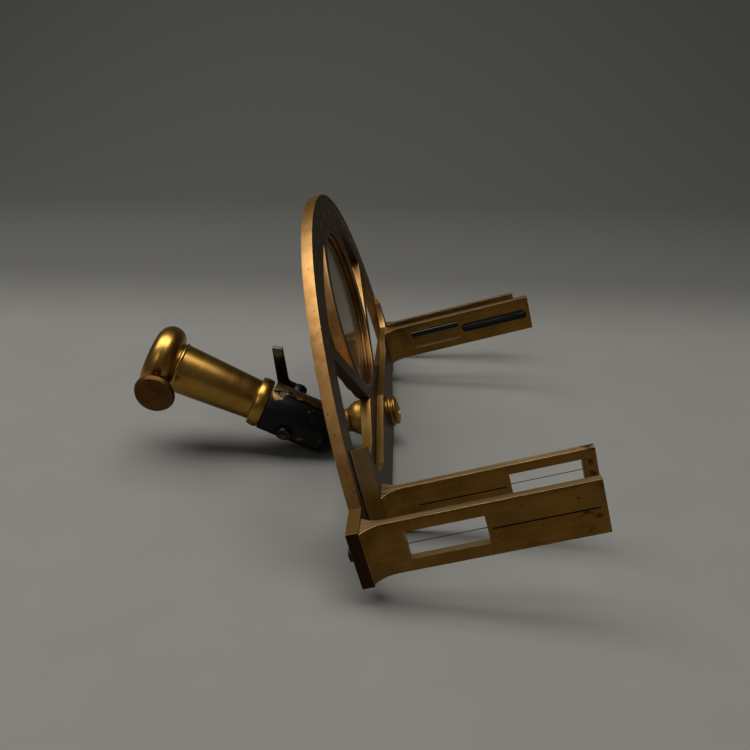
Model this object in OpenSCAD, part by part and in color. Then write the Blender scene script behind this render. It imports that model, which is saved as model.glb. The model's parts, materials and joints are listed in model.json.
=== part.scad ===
// Graphometer: a half-circle surveying instrument with fixed sights, a turning alidade,
// a sunk compass and a ball joint on a staff sleeve, lying on the floor.
// Each piece is drawn on the plate: x out of its front, y along the diameter, z up the limb.

/* [Limb plate] */
// Outer radius of the limb
limb_r = 108; // [95:0.5:125]
// Width of the limb
limb_w = 14.5; // [11:0.5:18]
// Thickness of the plate
plate_t = 4.5; // [3.5:0.1:6]
// Length of an ear past the limb
ear_l = 14.9; // [13:0.1:20]
// Half the width of an ear
ear_half = 11.1; // [10.8:0.1:13]
// Half the width of the diameter bar at its waist
bar_half = 8; // [7:0.1:10]
// Height of the bar's middle above the diameter
hub_rise = 18; // [15:0.5:20]
// Width of a strut
strut_w = 5.5; // [4:0.5:9]

/* [Sights] */
// Height of a fixed sight
vane_h = 81.4; // [70:0.2:95]
// Extra height of a sight on the alidade
vane_extra = 1.3; // [0:0.1:4]
// Half the width of a fixed sight
vane_half = 10.2; // [9:0.1:10.8]
// Thickness of a sight's blade
vane_t = 2.8; // [2:0.1:3.4]
// Radius of the fillets at a sight's foot
fillet_r = 11.4; // [10:0.1:14]
// Height of those fillets
fillet_h = 8.6; // [7:0.1:9.5]
// Half the width of a window
window_half = 5.4; // [4:0.1:6.5]
// Length of a window
window_l = 27.6; // [20:0.2:30]
// Height of a low window above the foot
window_up = 14.2; // [12:0.2:18]
// Width of a sighting slit
slit_w = 0.6; // [0.4:0.1:1]
// Radius of a sighting hair
hair_r = 0.15; // [0.1:0.05:0.3]

/* [Alidade] */
// Turn of the alidade off the diameter
alidade_turn = 6.2; // [0:0.1:8]
// Thickness of the alidade
alidade_t = 3.2; // [2.5:0.1:4.5]
// Half the width of the alidade at the pivot
alidade_half = 10.2; // [9:0.1:12]
// Half its width at the neck
neck_half = 7.2; // [6:0.1:8.5]
// Half its width under a sight
pad_half = 9.6; // [9:0.1:10.5]
// Distance of the vernier wings inside the limb's edge
wing_inset = 6; // [4:0.5:9]
// Angle that the near wing covers
near_wing_a = 21; // [17:0.5:24]
// Angle that the far wing covers
far_wing_a = 13.5; // [11:0.5:18]
// Radius of the pivot
pivot_r = 4; // [3.5:0.1:5]
// Radius of the pivot's nut
nut_r = 7.6; // [6.5:0.1:9]

/* [Compass] */
// Radius of the compass box
box_r = 37.6; // [33:0.2:40]
// Depth of the compass box behind the front of the plate
box_d = 8.6; // [8:0.2:12]
// Half the length of the needle
needle_l = 29; // [22:0.5:31]

/* [Ball joint and sleeve] */
// Place of the joint along the diameter
joint_y = -10.3; // [-12:0.1:-9.5]
// Place of the joint above the diameter
joint_z = 4.5; // [3.5:0.1:6]
// Depth of the ball behind the front of the plate
ball_x = 29.3; // [27:0.1:33]
// Radius of the ball
ball_r = 8.5; // [7.5:0.1:9.2]
// Radius of the joint's dome
dome_r = 9; // [8:0.1:9.5]
// Bend of the sleeve away from the joint's neck
bend = 40.3; // [35:0.1:42]
// Swing of the sleeve towards the near end
toe = 2.7; // [0:0.1:5]
// Radius of the socket
socket_r = 12; // [11.5:0.1:13]
// Length of the socket behind the ball's middle
socket_l = 28; // [27:0.5:32]
// Radius of the staff's bore
bore_r = 8; // [6.5:0.1:8.2]
// Length of the staff's bore
bore_l = 46; // [38:1:46]
// Length of the sleeve past the collar
sleeve_l = 50.7; // [50.5:0.1:65]
// Radius of the sleeve's round end
bulb_r = 17.2; // [15:0.1:19]
// Radius of the staff screw's knob
knob_r = 9.1; // [7.5:0.1:11]

/* [How it lies] */
// Lean of the plate back from upright
lean = 15.94; // [10:0.02:20]
// Tilt of the diameter
tilt = -1.65; // [-4:0.01:2]

/* [Hidden] */
$fn = 96;
// Clearances: a turning fit, a sliding face and a plain hole
turn_fit = 0.05;
face_gap = 0.3;
hole_fit = 0.05;
// Plate
limb_in = limb_r - limb_w;
ear_end = limb_r + ear_l;
bar_low = ear_half - 1.1;
hub_y = limb_r * 0.1833;
waist_y = limb_r * 0.4514;
strut_foot = [limb_r * 0.1685, limb_r * 0.1713];
strut_head = [limb_r * 0.69, limb_r * 0.5593];
// Sights
foot_half = vane_t / 2 + fillet_r - sqrt(fillet_r * fillet_r - fillet_h * fillet_h);
vane_y = ear_end - foot_half;
groove_half = 2.7;
groove_d = vane_t * 0.55;
bridge = 1.6;
tip_wall = 2;
sight_screw_r = 1.3;
sight_screw_l = 3.6;
ear_head_r = 2.5;
ear_head_t = 1.9;
sunk_head_r = 2.5;
// Alidade
bar_x = face_gap;
pad_x = bar_x + alidade_t;
wing_r = limb_r - wing_inset;
seat_in = 23.5;
seat_s = wing_r - seat_in;
pad_s = seat_s - foot_half - 11.5;
pad_end = seat_s + foot_half + 0.2;
near_wing_in = wing_r - 20;
far_wing_in = wing_r - 7.5;
near_slant = 1.8;
near_bevel = norm([pad_end, pad_half]) + 0.4;
far_bevel = far_wing_in + 1;
wing_edge = bar_x + 0.6;
tip_half = 4;
// Pivot
stud_head_r = pivot_r + 1;
stud_head_t = 2;
stud_tip_r = pivot_r - 1;
washer_x = pad_x + 0.1;
washer_t = 0.5;
nut_x = washer_x + washer_t;
nut_t = 4.6;
// Compass
ring_w = 4.8;
ring_r = box_r + ring_w;
ring_neck = 12;
flange_t = 1.2;
flange_r = ring_r - 0.2;
box_wall = 1.4;
box_floor = 1.2;
glass_r = box_r - box_wall;
well_r = glass_r - 1.4;
dial_t = 0.6;
dial_x = box_floor - box_d;
needle_x = dial_x + dial_t + 0.8;
needle_t = 0.5;
cap_t = 1.6;
glass_x = needle_x + cap_t;
glass_t = 1;
glass_ring_t = 1.6;
needle_w = 2.4;
cap_r = 2.2;
pin_r = 1.2;
compass_screw_r = 0.9;
compass_screw_at = (box_r + ring_r) / 2;
// The compass stands as low as its flange clears the dome of the joint
compass_z = joint_z + sqrt(pow(flange_r + dome_r + face_gap, 2) - joint_y * joint_y);
// Joint
dome_x = 11;
stem_r = 4;
cavity_r = ball_r + turn_fit;
mouth = cavity_r * cos(72);
stem_end = 4.2;
neck_screw_r = 1.5;
neck_head_r = 3;
neck_head_t = 1.6;
flange_screw_r = 1;
flange_screw_at = 6.2;
flange_screw_l = 5;
split = 0.8;
clamp_s = 15.5;
clamp_dir = 64.6;
clamp_r = 2;
clamp_hole = clamp_r + 0.8;
clamp_face = socket_r - 1;
clamp_head_r = 3.6;
clamp_head_t = 2.4;
hub_r = 4;
hub_x = clamp_face + 0.8;
hub_t = 5.2;
lever_t = 2;
lever_outline = [
    [3.1, 0], [2.9, 6.8], [1.6, 9.8], [-0.4, 11.2], [-21.5, 20.7],
    [-23.5, 16.3], [-4.5, 7.1], [-3.4, 5.9], [-3.1, 0]
];
hinge_s = 23;
hinge_r = 1.5;
jaw_l = socket_l - 1;
spigot_r = 6;
spigot_l = 9;
// Sleeve, measured from the middle of the ball
collar_l = 7;
collar_r = socket_r;
collar_swell = 1.1;
sleeve_s = socket_l + collar_l;
sleeve_end = sleeve_s + sleeve_l;
throat_r = bore_r + 1.8;
flare = 1.9;
bulb_half = 6.3;
bulb_s = sleeve_end - bulb_half + 0.3;
bulb_rim = bulb_r - bulb_half;
knob_dir = -99.6;
knob_s = bulb_s - 4.4;
knob_stem_r = 3;
knob_x = bulb_r + 6.5;
knob_t = 3.2;
// Lie: the plate leans, then tilts, and is lifted until its lowest point is on the floor
function leaned(p) = [
    p[0] * cos(lean) - p[2] * sin(lean),
    p[1],
    p[0] * sin(lean) + p[2] * cos(lean)
];
function level(p) = leaned(p)[1] * sin(tilt) + leaned(p)[2] * cos(tilt);
sleeve_axis = [-cos(bend) * cos(toe), -sin(toe), sin(bend) * cos(toe)];
mouth_mid = [-ball_x, joint_y, joint_z] - mouth * sleeve_axis;
mouth_low = level(mouth_mid) - socket_r * sqrt(1 - level(sleeve_axis) * level(sleeve_axis));
pad_low = level([
    bar_x,
    -pad_end * cos(alidade_turn) + pad_half * sin(alidade_turn),
    -pad_end * sin(alidade_turn) - pad_half * cos(alidade_turn)
]);
ear_low = level([-plate_t, ear_end, -ear_half]);
lift = -min(mouth_low, pad_low, ear_low);
// Middle of its footprint, between the tip of the near alidade sight and the sleeve's round end
function ahead(p) = leaned(p)[0];
tip_x = ahead([
    pad_x + vane_h + vane_extra, 0, -seat_s * sin(alidade_turn) - pad_half * cos(alidade_turn)
]);
bulb_mid = [-ball_x, joint_y, joint_z] + bulb_s * sleeve_axis;
bulb_x = ahead(bulb_mid) - bulb_rim * sqrt(1 - ahead(sleeve_axis) * ahead(sleeve_axis)) - bulb_half;
centre_x = (tip_x + bulb_x) / 2;

brass = [0.72, 0.56, 0.3];
dark_brass = [0.36, 0.29, 0.2];
iron = [0.12, 0.11, 0.11];
steel = [0.55, 0.56, 0.58];
silvered = [0.74, 0.72, 0.64];

// Placing

module laid() {
    translate([-centre_x, 0, lift])
        rotate([tilt, 0, 0])
            rotate([0, -lean, 0])
                children();
}

module turned() {
    rotate([alidade_turn, 0, 0])
        children();
}

module at_compass() {
    translate([0, 0, compass_z])
        children();
}

module at_joint() {
    translate([0, joint_y, joint_z])
        children();
}

// The sleeve's own axes: z out along the sleeve from the ball, x up, y towards the far end
module on_sleeve() {
    translate([-ball_x, joint_y, joint_z])
        rotate([0, bend - 90, 0])
            rotate([toe, 0, 0])
                children();
}

// The clamp's axes: x along its screw, towards the lever
module on_clamp() {
    on_sleeve()
        rotate([0, 0, clamp_dir])
            children();
}

// Plain shapes

// An outline drawn along the diameter and up the limb, made a plate from x0 to x1
module plate(x0, x1) {
    translate([x0, 0, 0])
        rotate([90, 0, 90])
            linear_extrude(x1 - x0)
                children();
}

module rod(x0, x1, r) {
    translate([x0, 0, 0])
        rotate([0, 90, 0])
            cylinder(h = x1 - x0, r = r);
}

module cone(x0, x1, r0, r1) {
    translate([x0, 0, 0])
        rotate([0, 90, 0])
            cylinder(h = x1 - x0, r1 = r0, r2 = r1);
}

// A profile of radius and distance, turned about the x axis
module lathe() {
    rotate([0, 90, 0])
        rotate_extrude()
            children();
}

module both_ends() {
    children();
    mirror([0, 1, 0])
        children();
}

module ring_of(count, radius, start) {
    for (i = [0 : count - 1])
        rotate([start + i * 360 / count, 0, 0])
            translate([0, radius, 0])
                children();
}

// Limb plate

module strut() {
    run = strut_head - strut_foot;
    translate(strut_foot)
        rotate(atan2(run[1], run[0]))
            translate([0, -strut_w / 2])
                square([norm(run), strut_w]);
}

module bar_outline() {
    polygon([
        [-limb_r, -limb_r], [limb_r, -limb_r], [limb_r, bar_half], [waist_y, bar_half],
        [hub_y, hub_rise], [-hub_y, hub_rise], [-waist_y, bar_half], [-limb_r, bar_half]
    ]);
}

module plate_outline() {
    difference() {
        union() {
            intersection() {
                circle(limb_r, $fn = 240);
                translate([-limb_r, -bar_low])
                    square([2 * limb_r, limb_r + bar_low]);
            }
            for (side = [-1, 1])
                translate([side * (limb_in + ear_end) / 2, 0])
                    square([ear_end - limb_in, 2 * ear_half], center = true);
        }
        difference() {
            circle(limb_in, $fn = 240);
            bar_outline();
            translate([0, compass_z])
                circle(ring_r);
            translate([-ring_neck / 2, compass_z])
                square([ring_neck, limb_r - compass_z]);
            strut();
            mirror([1, 0])
                strut();
        }
    }
}

module limb_plate() {
    color(dark_brass)
        laid()
            difference() {
                plate(-plate_t, 0)
                    plate_outline();
                at_compass() {
                    rod(-plate_t - 1, 1, box_r + 0.1);
                    ring_of(3, compass_screw_at, 90)
                        rod(-plate_t - 1, -1, compass_screw_r + hole_fit);
                }
                rod(-plate_t - 1, 1, pivot_r + hole_fit);
                rod(-plate_t - 1, stud_head_t - plate_t, stud_head_r + hole_fit);
                both_ends()
                    translate([0, vane_y, 0])
                        rod(-plate_t - 1, 1, sight_screw_r + hole_fit);
                at_joint()
                    ring_of(3, flange_screw_at, 156) {
                        rod(-plate_t - 1, 1, flange_screw_r + hole_fit);
                        cone(-1.2, 0.01, flange_screw_r + hole_fit, flange_screw_r + 1.2);
                    }
            }
}

// Sights

// A sight standing on x = 0, its inner face towards the far end
module vane(high, half, window_low) {
    window_x = window_low ? window_up : high - 5.6 - window_l;
    slit_from = window_low ? window_x + window_l + bridge : window_up - 1;
    slit_to = window_low ? high - tip_wall : window_x - bridge;
    difference() {
        union() {
            translate([0, -vane_t / 2, -half])
                cube([high, vane_t, 2 * half]);
            difference() {
                translate([0, -foot_half, -half])
                    cube([fillet_h, 2 * foot_half, 2 * half]);
                both_ends()
                    translate([fillet_h, vane_t / 2 + fillet_r, -half - 1])
                        cylinder(h = 2 * half + 2, r = fillet_r);
            }
        }
        translate([window_x, -vane_t, -window_half])
            cube([window_l, 2 * vane_t, 2 * window_half]);
        translate([slit_from, -vane_t, -slit_w / 2])
            cube([slit_to - slit_from, 2 * vane_t, slit_w]);
        translate([0, vane_t / 2 - groove_d, 0])
            rotate([-90, 0, 0])
                groove(slit_from, slit_to);
        rod(-1, sight_screw_l + 0.4, sight_screw_r + hole_fit);
    }
}

// A round-ended groove, cut along x
module groove(from, to) {
    translate([from + groove_half, -groove_half, 0])
        cube([to - from - 2 * groove_half, 2 * groove_half, vane_t]);
    for (x = [from + groove_half, to - groove_half])
        translate([x, 0, 0])
            cylinder(h = vane_t, r = groove_half);
}

module hair(high, window_low) {
    window_x = window_low ? window_up : high - 5.6 - window_l;
    rod(window_x, window_x + window_l, hair_r, $fn = 16);
}

module fixed_vane_near() {
    color(brass)
        laid()
            translate([0, -vane_y, 0])
                vane(vane_h, vane_half, true);
}

module fixed_vane_far() {
    color(brass)
        laid()
            translate([0, vane_y, 0])
                mirror([0, 1, 0])
                    vane(vane_h, vane_half, false);
}

module fixed_vane_screws() {
    color(iron)
        laid()
            both_ends()
                translate([0, vane_y, 0]) {
                    rod(-plate_t - ear_head_t, -plate_t, ear_head_r);
                    rod(-plate_t, sight_screw_l, sight_screw_r);
                }
}

module fixed_sight_hairs() {
    color(iron)
        laid() {
            translate([0, -vane_y, 0])
                hair(vane_h, true);
            translate([0, vane_y, 0])
                hair(vane_h, false);
        }
}

// Alidade

// One end of the alidade, from the pivot to its wing, drawn along the diameter
module alidade_end(angle, inner, slant) {
    corner = inner * [cos(angle), sin(angle)];
    outer = wing_r * [cos(angle + slant), sin(angle + slant)];
    flare_r = corner[1] - neck_half;
    flare_s = corner[0] - flare_r;
    intersection() {
        circle(wing_r, $fn = 240);
        union() {
            polygon([
                [-1, -alidade_half], [0, -alidade_half], [pad_s - 6, -neck_half], [pad_end, -neck_half],
                [wing_r, -tip_half], [wing_r * 1.05, 0], [pad_end, neck_half], [pad_s - 6, neck_half],
                [0, alidade_half], [-1, alidade_half]
            ]);
            difference() {
                polygon([
                    [flare_s, 0], [wing_r * 1.05, 0], 2 * outer - corner, corner, [flare_s, corner[1]]
                ]);
                translate([flare_s, corner[1]])
                    circle(flare_r);
            }
        }
    }
    polygon([
        [pad_s - 6, -neck_half], [pad_s, -pad_half], [pad_end, -pad_half],
        [pad_end, pad_half], [pad_s, pad_half], [pad_s - 6, neck_half]
    ]);
    polygon([[pad_end - 1, -pad_half], [pad_end, -pad_half], [wing_r - 2, -tip_half], [pad_end - 1, 0]]);
}

// That end as a plate, its wing bevelled down to a thin edge over the limb
module bevelled_end(angle, inner, slant, bevel_r) {
    fall = (pad_x - wing_edge) / (wing_r - bevel_r);
    difference() {
        plate(bar_x, pad_x)
            alidade_end(angle, inner, slant);
        lathe()
            polygon([
                [bevel_r - 2, pad_x + 2 * fall], [wing_r + 1, wing_edge - fall],
                [wing_r + 1, pad_x + 2], [bevel_r - 2, pad_x + 2]
            ]);
    }
}

module alidade_bar() {
    color(dark_brass)
        laid()
            turned()
                difference() {
                    union() {
                        bevelled_end(far_wing_a, far_wing_in, 0, far_bevel);
                        mirror([0, 1, 0])
                            bevelled_end(near_wing_a, near_wing_in, near_slant, near_bevel);
                    }
                    rod(0, pad_x + 1, pivot_r + turn_fit);
                    both_ends()
                        translate([0, seat_s, 0]) {
                            rod(0, pad_x + 1, sight_screw_r + hole_fit);
                            cone(bar_x - 0.01, bar_x + 1.25, sunk_head_r + hole_fit, sight_screw_r);
                        }
                }
}

module alidade_vane_near() {
    color(brass)
        laid()
            turned()
                translate([pad_x, -seat_s, 0])
                    vane(vane_h + vane_extra, pad_half, false);
}

module alidade_vane_far() {
    color(brass)
        laid()
            turned()
                translate([pad_x, seat_s, 0])
                    mirror([0, 1, 0])
                        vane(vane_h + vane_extra, pad_half, true);
}

module alidade_vane_screws() {
    color(iron)
        laid()
            turned()
                both_ends()
                    translate([0, seat_s, 0]) {
                        cone(bar_x, bar_x + 1.2, sunk_head_r, sight_screw_r);
                        rod(bar_x, pad_x + sight_screw_l, sight_screw_r);
                    }
}

module alidade_sight_hairs() {
    color(iron)
        laid()
            turned() {
                translate([pad_x, -seat_s, 0])
                    hair(vane_h + vane_extra, false);
                translate([pad_x, seat_s, 0])
                    hair(vane_h + vane_extra, true);
            }
}

module pivot_stud() {
    color(steel)
        laid() {
            rod(-plate_t, stud_head_t - plate_t - 0.1, stud_head_r);
            rod(-plate_t, pad_x + 0.05, pivot_r);
            rod(-plate_t, nut_x + nut_t - 0.4, stud_tip_r);
        }
}

module pivot_washer() {
    color(brass)
        laid()
            difference() {
                rod(washer_x, washer_x + washer_t, nut_r - 0.6);
                rod(washer_x - 1, nut_x + 1, stud_tip_r + 0.1);
            }
}

module pivot_nut() {
    color(brass)
        laid()
            difference() {
                translate([nut_x, 0, 0])
                    lathe() {
                        square([nut_r, nut_t * 0.4]);
                        square([nut_r - 1.2, nut_t * 0.6]);
                        translate([0, nut_t * 0.6])
                            square([nut_r - 0.5, nut_t * 0.25]);
                        square([nut_r - 1.4, nut_t]);
                    }
                rod(nut_x - 1, nut_x + nut_t + 1, stud_tip_r + hole_fit);
            }
}

// Compass

module compass_box() {
    color(brass)
        laid()
            at_compass()
                difference() {
                    union() {
                        rod(-box_d, -0.2, box_r);
                        rod(-plate_t - flange_t, -plate_t, flange_r);
                    }
                    rod(-box_d + box_floor, 1, well_r);
                    rod(glass_x, 1, glass_r);
                    rod(-box_d - 1, 0, pin_r + hole_fit);
                    ring_of(3, compass_screw_at, 90)
                        rod(-plate_t - flange_t - 1, 0, compass_screw_r + hole_fit);
                }
}

module compass_dial() {
    color(silvered)
        laid()
            at_compass()
                difference() {
                    rod(dial_x, dial_x + dial_t, well_r - 0.2);
                    rod(dial_x - 1, 0, pin_r + hole_fit);
                }
}

module needle_pivot() {
    color(steel)
        laid()
            at_compass() {
                rod(-box_d, needle_x - 1, pin_r);
                cone(needle_x - 1, needle_x + 0.5, 0.9, 0.15);
            }
}

module compass_needle() {
    color(steel)
        laid()
            at_compass()
                rotate([26, 0, 0])
                    difference() {
                        plate(needle_x, needle_x + needle_t)
                            polygon([[-needle_l, 0], [0, -needle_w], [needle_l, 0], [0, needle_w]]);
                        rod(needle_x - 1, needle_x + 1, cap_r - 0.7 + hole_fit);
                    }
}

module needle_cap() {
    color(brass)
        laid()
            at_compass()
                difference() {
                    union() {
                        rod(needle_x - 0.5, needle_x + cap_t - 0.5, cap_r - 0.7);
                        rod(needle_x + needle_t, needle_x + cap_t - 0.5, cap_r);
                    }
                    cone(needle_x - 0.51, needle_x + 0.7, 0.95, 0.3);
                }
}

module compass_glass() {
    color([0.85, 0.9, 0.9, 0.35])
        laid()
            at_compass()
                rod(glass_x, glass_x + glass_t, glass_r - 0.1);
}

module glass_ring() {
    color(brass)
        laid()
            at_compass()
                difference() {
                    rod(glass_x + glass_t, glass_x + glass_t + glass_ring_t, glass_r - 0.1);
                    rod(glass_x, 1, well_r);
                }
}

module compass_screws() {
    color(iron)
        laid()
            at_compass()
                ring_of(3, compass_screw_at, 90) {
                    rod(-plate_t - flange_t - 1.2, -plate_t - flange_t, compass_screw_r + 0.6);
                    rod(-plate_t - flange_t, -1.1, compass_screw_r);
                }
}

// Ball joint

module joint_flange() {
    color(brass)
        laid()
            at_joint()
                difference() {
                    translate([-plate_t, 0, 0])
                        mirror([1, 0, 0])
                            lathe() {
                                square([dome_r, 2]);
                                square([dome_r - 1, 3.2]);
                                intersection() {
                                    translate([0, 3])
                                        scale([1, 0.9])
                                            circle(dome_r - 0.3);
                                    square([dome_r, dome_x - 1]);
                                }
                                square([stem_r + 1.4, dome_x]);
                                square([stem_r, ball_x - plate_t + stem_end]);
                            }
                    rod(-ball_x - stem_end - 1, -ball_x + 4, neck_screw_r + hole_fit);
                    ring_of(3, flange_screw_at, 156)
                        rod(-plate_t - flange_screw_l - 0.4, 0, flange_screw_r + hole_fit);
                }
}

module flange_screws() {
    color(iron)
        laid()
            at_joint()
                ring_of(3, flange_screw_at, 156) {
                    rod(-plate_t - flange_screw_l, -0.1, flange_screw_r);
                    cone(-1.2, -0.1, flange_screw_r, flange_screw_r + 1);
                }
}

module ball() {
    color(iron)
        laid()
            at_joint()
                translate([-ball_x, 0, 0])
                    lathe()
                        difference() {
                            intersection() {
                                circle(ball_r);
                                translate([0, -ball_r])
                                    square([ball_r, 2 * ball_r]);
                            }
                            translate([0, -stem_end - 0.1])
                                square([stem_r + turn_fit, 2 * ball_r]);
                            translate([0, -2 * ball_r])
                                square([neck_screw_r + 0.1, 2 * ball_r]);
                            translate([0, -2 * ball_r - stem_end - 1])
                                square([neck_head_r + 0.3, 2 * ball_r]);
                        }
}

module neck_screw() {
    color(steel)
        laid()
            at_joint() {
                rod(-ball_x - stem_end - 1.2 - neck_head_t, -ball_x - stem_end - 1.2, neck_head_r);
                rod(-ball_x - stem_end - 2, -ball_x + 3.6, neck_screw_r);
            }
}

// Both halves of the socket before they are split
module socket_body(length) {
    difference() {
        translate([0, 0, -mouth])
            cylinder(h = mouth + length, r = socket_r);
        sphere(cavity_r);
        for (side = [-1, 1])
            translate([side > 0 ? clamp_face : -clamp_face - 3, 0, clamp_s])
                rod(0, 3, clamp_head_r + 1.2);
        translate([0, 0, clamp_s])
            rod(-socket_r, socket_r, clamp_hole);
        translate([0, -socket_r - 1, hinge_s])
            rotate([-90, 0, 0])
                cylinder(h = 2 * socket_r + 2, r = hinge_r + turn_fit);
    }
}

module socket_shell() {
    color(iron)
        laid()
            on_clamp() {
                intersection() {
                    socket_body(socket_l);
                    translate([-socket_r - split / 2, -socket_r, -mouth])
                        cube([socket_r, 2 * socket_r, mouth + socket_l]);
                }
                translate([0, 0, jaw_l + split])
                    cylinder(h = spigot_l + socket_l - jaw_l - split, r = spigot_r);
            }
}

module socket_jaw() {
    color(iron)
        laid()
            on_clamp()
                intersection() {
                    socket_body(jaw_l);
                    translate([split / 2, -socket_r, -mouth])
                        cube([socket_r, 2 * socket_r, mouth + jaw_l]);
                }
}

module jaw_hinge_pin() {
    color(steel)
        laid()
            on_clamp()
                translate([0, -socket_r + 0.3, hinge_s])
                    rotate([-90, 0, 0])
                        cylinder(h = 2 * socket_r - 0.6, r = hinge_r);
}

module clamp_screw() {
    color(iron)
        laid()
            on_clamp()
                translate([0, 0, clamp_s])
                    difference() {
                        union() {
                            rod(-clamp_face - clamp_head_t, -clamp_face, clamp_head_r);
                            rod(-clamp_face, hub_x + hub_t - 0.6, clamp_r);
                        }
                        rod(-clamp_face - clamp_head_t - 1, 1 - clamp_face - clamp_head_t, 1.6);
                    }
}

module clamp_lever() {
    color(iron)
        laid()
            on_clamp()
                translate([0, 0, clamp_s])
                    difference() {
                        union() {
                            rod(hub_x, hub_x + hub_t, hub_r);
                            plate(hub_x + hub_t - lever_t, hub_x + hub_t)
                                polygon(lever_outline);
                        }
                        rod(hub_x - 1, hub_x + hub_t + 1, clamp_r + turn_fit);
                    }
}

// Sleeve

module sleeve_collar() {
    color(brass)
        laid()
            on_sleeve()
                rotate_extrude()
                    difference() {
                        union() {
                            translate([0, socket_l])
                                square([collar_r - collar_swell, collar_l]);
                            translate([collar_r - collar_swell, socket_l + collar_l / 2])
                                scale([collar_swell * 2 / collar_l, 1])
                                    circle(collar_l / 2);
                        }
                        translate([0, socket_l - 1])
                            square([spigot_r + hole_fit, collar_l + 2]);
                    }
}

module staff_sleeve() {
    color(brass)
        laid()
            on_sleeve()
                difference() {
                    rotate_extrude()
                        difference() {
                            union() {
                                polygon([
                                    [0, sleeve_s], [throat_r, sleeve_s],
                                    [throat_r + flare, bulb_s - bulb_half - 0.9],
                                    [throat_r + flare - 0.7, bulb_s - bulb_half - 0.9],
                                    [throat_r + flare - 0.7, sleeve_end], [0, sleeve_end]
                                ]);
                                translate([bulb_rim, bulb_s])
                                    circle(bulb_half);
                            }
                            translate([0, sleeve_s - 1])
                                square([spigot_r + hole_fit, spigot_l - collar_l + 1.2]);
                            translate([0, sleeve_end - bore_l])
                                square([bore_r, bore_l + 1]);
                            translate([0, sleeve_end])
                                square([bulb_r, bulb_half]);
                            translate([-bulb_r, 0])
                                square([bulb_r, 2 * sleeve_end]);
                        }
                    rotate([0, 0, knob_dir])
                        translate([0, 0, knob_s])
                            rod(0, bulb_r + 1, knob_stem_r + turn_fit);
                }
}

module staff_screw() {
    color(brass)
        laid()
            on_sleeve()
                rotate([0, 0, knob_dir])
                    translate([0, 0, knob_s])
                        difference() {
                            union() {
                                rod(bore_r + 0.3, knob_x, knob_stem_r);
                                rod(knob_x, knob_x + knob_t, knob_r);
                            }
                            rod(knob_x + knob_t - 0.8, knob_x + knob_t + 1, 2);
                        }
}

limb_plate();
fixed_vane_near();
fixed_vane_far();
fixed_vane_screws();
fixed_sight_hairs();
alidade_bar();
alidade_vane_near();
alidade_vane_far();
alidade_vane_screws();
alidade_sight_hairs();
pivot_stud();
pivot_washer();
pivot_nut();
compass_box();
compass_dial();
needle_pivot();
compass_needle();
needle_cap();
compass_glass();
glass_ring();
compass_screws();
joint_flange();
flange_screws();
ball();
neck_screw();
socket_shell();
socket_jaw();
jaw_hinge_pin();
clamp_screw();
clamp_lever();
sleeve_collar();
staff_sleeve();
staff_screw();
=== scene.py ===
# %% [markdown]
# # Dressing a graphometer
# A graphometer is a half circle of brass for measuring angles in the field. Two fixed sights stand on
# its diameter, and a second pair turns on the alidade. Here it lies on its lower edge, with the ball
# joint and the staff sleeve behind it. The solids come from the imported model, so every piece made
# below is placed in the same frame, in metres.

# %% Load the frame
import json
from math import atan, cos, pi, radians, sin, sqrt

import bmesh
import bpy
from mathutils import Matrix, Vector


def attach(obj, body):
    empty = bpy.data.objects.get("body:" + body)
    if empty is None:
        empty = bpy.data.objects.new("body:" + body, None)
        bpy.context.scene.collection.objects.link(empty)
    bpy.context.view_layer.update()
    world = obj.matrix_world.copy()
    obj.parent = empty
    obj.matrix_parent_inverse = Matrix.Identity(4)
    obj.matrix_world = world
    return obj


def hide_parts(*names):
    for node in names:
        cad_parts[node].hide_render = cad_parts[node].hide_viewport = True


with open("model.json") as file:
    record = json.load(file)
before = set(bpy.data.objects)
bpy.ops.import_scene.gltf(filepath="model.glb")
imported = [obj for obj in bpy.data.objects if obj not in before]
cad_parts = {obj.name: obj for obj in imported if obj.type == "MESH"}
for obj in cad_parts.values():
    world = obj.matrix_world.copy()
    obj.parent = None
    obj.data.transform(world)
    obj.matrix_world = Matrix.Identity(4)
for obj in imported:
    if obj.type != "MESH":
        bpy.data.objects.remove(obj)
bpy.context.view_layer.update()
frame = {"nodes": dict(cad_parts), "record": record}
nodes = frame["nodes"]
scene = bpy.context.scene
scene.view_settings.view_transform = "Standard"

# %% [markdown]
# ## Where the pieces lie
# The instrument is drawn upright on its plate: x comes out of the front, y runs along the diameter
# towards the far sight, and z goes up the limb. On the floor the plate leans back and tips a little
# along the diameter. One matrix takes a point of the plate, in millimetres, to the floor's frame in
# metres. The alidade, the compass, the dome and the sleeve each have a matrix of their own on it.

# %% Matrices
MM = 0.001
LEAN, TILT = radians(15.94), radians(-1.65)
SHIFT = Vector((12.45917272, 0.0, 15.44287941)) * MM
PLATE_BACK = -4.5
ALIDADE_TURN = radians(6.2)
BALL = Vector((-29.3, -10.3, 4.5))
COMPASS_REACH = 51.5
COMPASS_Z = BALL.z + sqrt(COMPASS_REACH ** 2 - BALL.y ** 2)
SLEEVE_DIP, SLEEVE_YAW = radians(40.3 - 90), radians(2.7)
KNOB_TURN, KNOB_ALONG = radians(-99.6), 75.3
PLATE = (Matrix.Translation(SHIFT) @ Matrix.Rotation(TILT, 4, "X")
         @ Matrix.Rotation(-LEAN, 4, "Y") @ Matrix.Scale(MM, 4))
ALIDADE = PLATE @ Matrix.Rotation(ALIDADE_TURN, 4, "X")
COMPASS = PLATE @ Matrix.Translation((0, 0, COMPASS_Z))
JOINT = PLATE @ Matrix.Translation((0, BALL.y, BALL.z))
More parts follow.
